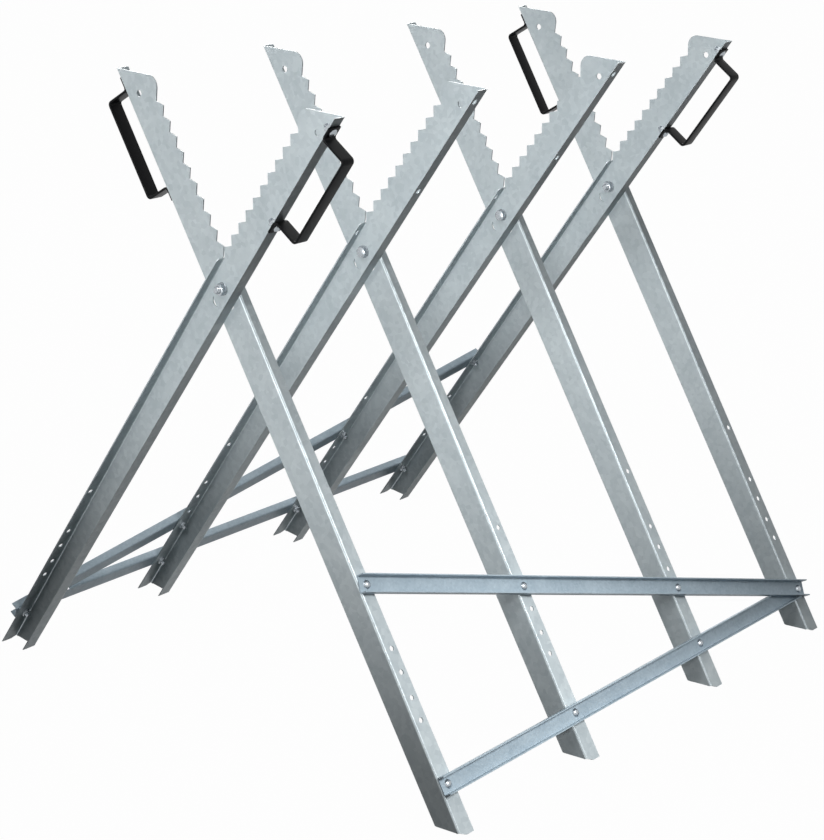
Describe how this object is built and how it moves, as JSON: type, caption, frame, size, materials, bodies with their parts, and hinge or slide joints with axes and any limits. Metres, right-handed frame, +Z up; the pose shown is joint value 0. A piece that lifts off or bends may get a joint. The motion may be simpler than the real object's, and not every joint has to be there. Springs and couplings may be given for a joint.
{
  "type": "folding saw stand",
  "caption": "Folding saw stand for logs: crossed steel channel frames with toothed jaws on a common fold axis, tied by bolted rails and diagonal braces, with strap handles",
  "frame": {"origin": "on the ground under the middle of the stand, below the fold axis", "axes": "+X across the stand to the right, +Y along the log away from the viewer, +Z up"},
  "size_m": [0.7832, 0.8422, 0.811],
  "materials": {
    "galvanised_arms": "galvanised sheet, semi-bright",
    "zinc_bars": "bluish zinc, satin",
    "zinc_fasteners": "bright zinc plate",
    "black_handle": "black coating, semi-gloss"
  },
  "bodies": {
    "left_frame": {"left_arm_1": "galvanised_arms", "left_arm_2": "galvanised_arms", "left_arm_3": "galvanised_arms", "left_arm_4": "galvanised_arms", "left_rail": "zinc_bars", "left_brace": "zinc_bars", "handle_front_right": "black_handle", "handle_back_right": "black_handle", "left_bar_bolts": "zinc_fasteners", "left_bar_nuts": "zinc_fasteners", "left_arm_handle_bolts": "zinc_fasteners", "left_arm_handle_nuts": "zinc_fasteners", "pivot_bolt_1": "zinc_fasteners", "pivot_bolt_2": "zinc_fasteners", "pivot_bolt_3": "zinc_fasteners", "pivot_bolt_4": "zinc_fasteners", "pivot_nut_1": "zinc_fasteners", "pivot_nut_2": "zinc_fasteners", "pivot_nut_3": "zinc_fasteners", "pivot_nut_4": "zinc_fasteners", "pivot_washers": "zinc_fasteners"},
    "right_frame": {"right_arm_1": "galvanised_arms", "right_arm_2": "galvanised_arms", "right_arm_3": "galvanised_arms", "right_arm_4": "galvanised_arms", "right_rail": "zinc_bars", "right_brace": "zinc_bars", "handle_front_left": "black_handle", "handle_back_left": "black_handle", "right_bar_bolts": "zinc_fasteners", "right_bar_nuts": "zinc_fasteners", "right_arm_handle_bolts": "zinc_fasteners", "right_arm_handle_nuts": "zinc_fasteners"}
  },
  "joints": [
    {"name": "fold", "type": "hinge", "parent": "left_frame", "child": "right_frame", "pos_m": [0, 0, 0.577], "axis": [0, 1, 0], "range_deg": [0, 64]}
  ]
}
